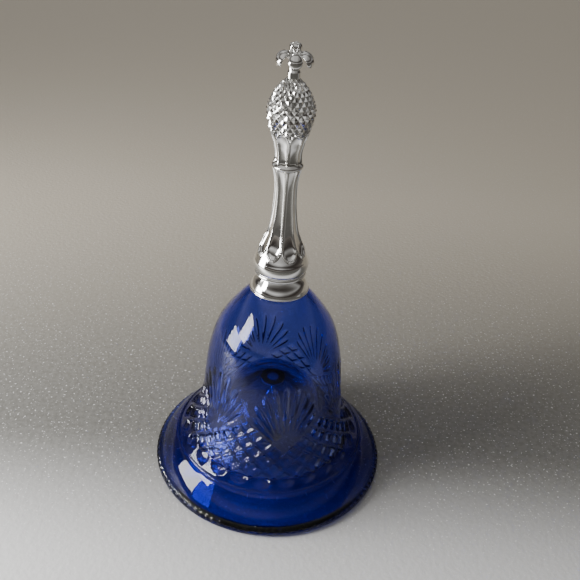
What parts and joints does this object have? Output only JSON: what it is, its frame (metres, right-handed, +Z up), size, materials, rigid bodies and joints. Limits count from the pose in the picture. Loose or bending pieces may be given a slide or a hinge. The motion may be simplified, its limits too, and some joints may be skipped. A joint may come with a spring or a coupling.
{
  "type": "glass hand bell",
  "caption": "Blue pressed-glass hand bell with a flared foot, plated fluted handle that screws onto the neck, and a hanging clapper",
  "frame": {"origin": "centre of the foot ring, on the surface the bell stands on", "axes": "+Z up along the bell's axis, -Y towards the front, +X to the right seen from the front"},
  "size_m": [0.0984, 0.0984, 0.1763],
  "materials": {
    "blue_glass": "pressed transparent cobalt-blue glass, polished",
    "plated_metal": "bright silver-coloured plating on cast metal",
    "liner_plastic": "off-white moulded plastic",
    "wad_rubber": "pale soft sealing disc",
    "mount_cement": "grey cement disc",
    "steel_wire": "plated steel wire",
    "ball_brass": "turned and polished brass"
  },
  "bodies": {
    "bell": {"glass_body": "blue_glass", "clapper_mount": "mount_cement", "clapper_eye": "steel_wire"},
    "seal": {"seal_wad": "wad_rubber"},
    "closure": {"cap_liner": "liner_plastic", "handle_skirt": "plated_metal", "collar_bead": "plated_metal", "handle_stem": "plated_metal", "stem_ring": "plated_metal", "finial_calyx": "plated_metal", "pineapple": "plated_metal", "crown_core": "plated_metal", "crown_outer_leaves": "plated_metal", "crown_inner_leaves": "plated_metal"},
    "link": {"clapper_link": "steel_wire"},
    "clapper": {"clapper_rod": "steel_wire", "clapper_ball": "ball_brass"}
  },
  "joints": [
    {"name": "closure_lift", "type": "slide", "parent": "bell", "child": "seal", "axis": [0, 0, 1], "range_m": [0, 0.0126]},
    {"name": "closure_turn", "type": "hinge", "parent": "seal", "child": "closure", "pos_m": [0, 0, 0.1], "axis": [0, 0, 1], "range_deg": [0, 2160]},
    {"name": "link_swing", "type": "hinge", "parent": "bell", "child": "link", "pos_m": [0, 0, 0.0357], "axis": [1, 0, 0], "range_deg": [-36, 36]},
    {"name": "rod_swing", "type": "hinge", "parent": "link", "child": "clapper", "pos_m": [0, 0, 0.0325], "axis": [0, 1, 0], "range_deg": [-36, 36]}
  ],
  "couplings": [
    {"joint": "closure_turn", "follows": "closure_lift", "rad_per_m": 2992}
  ]
}
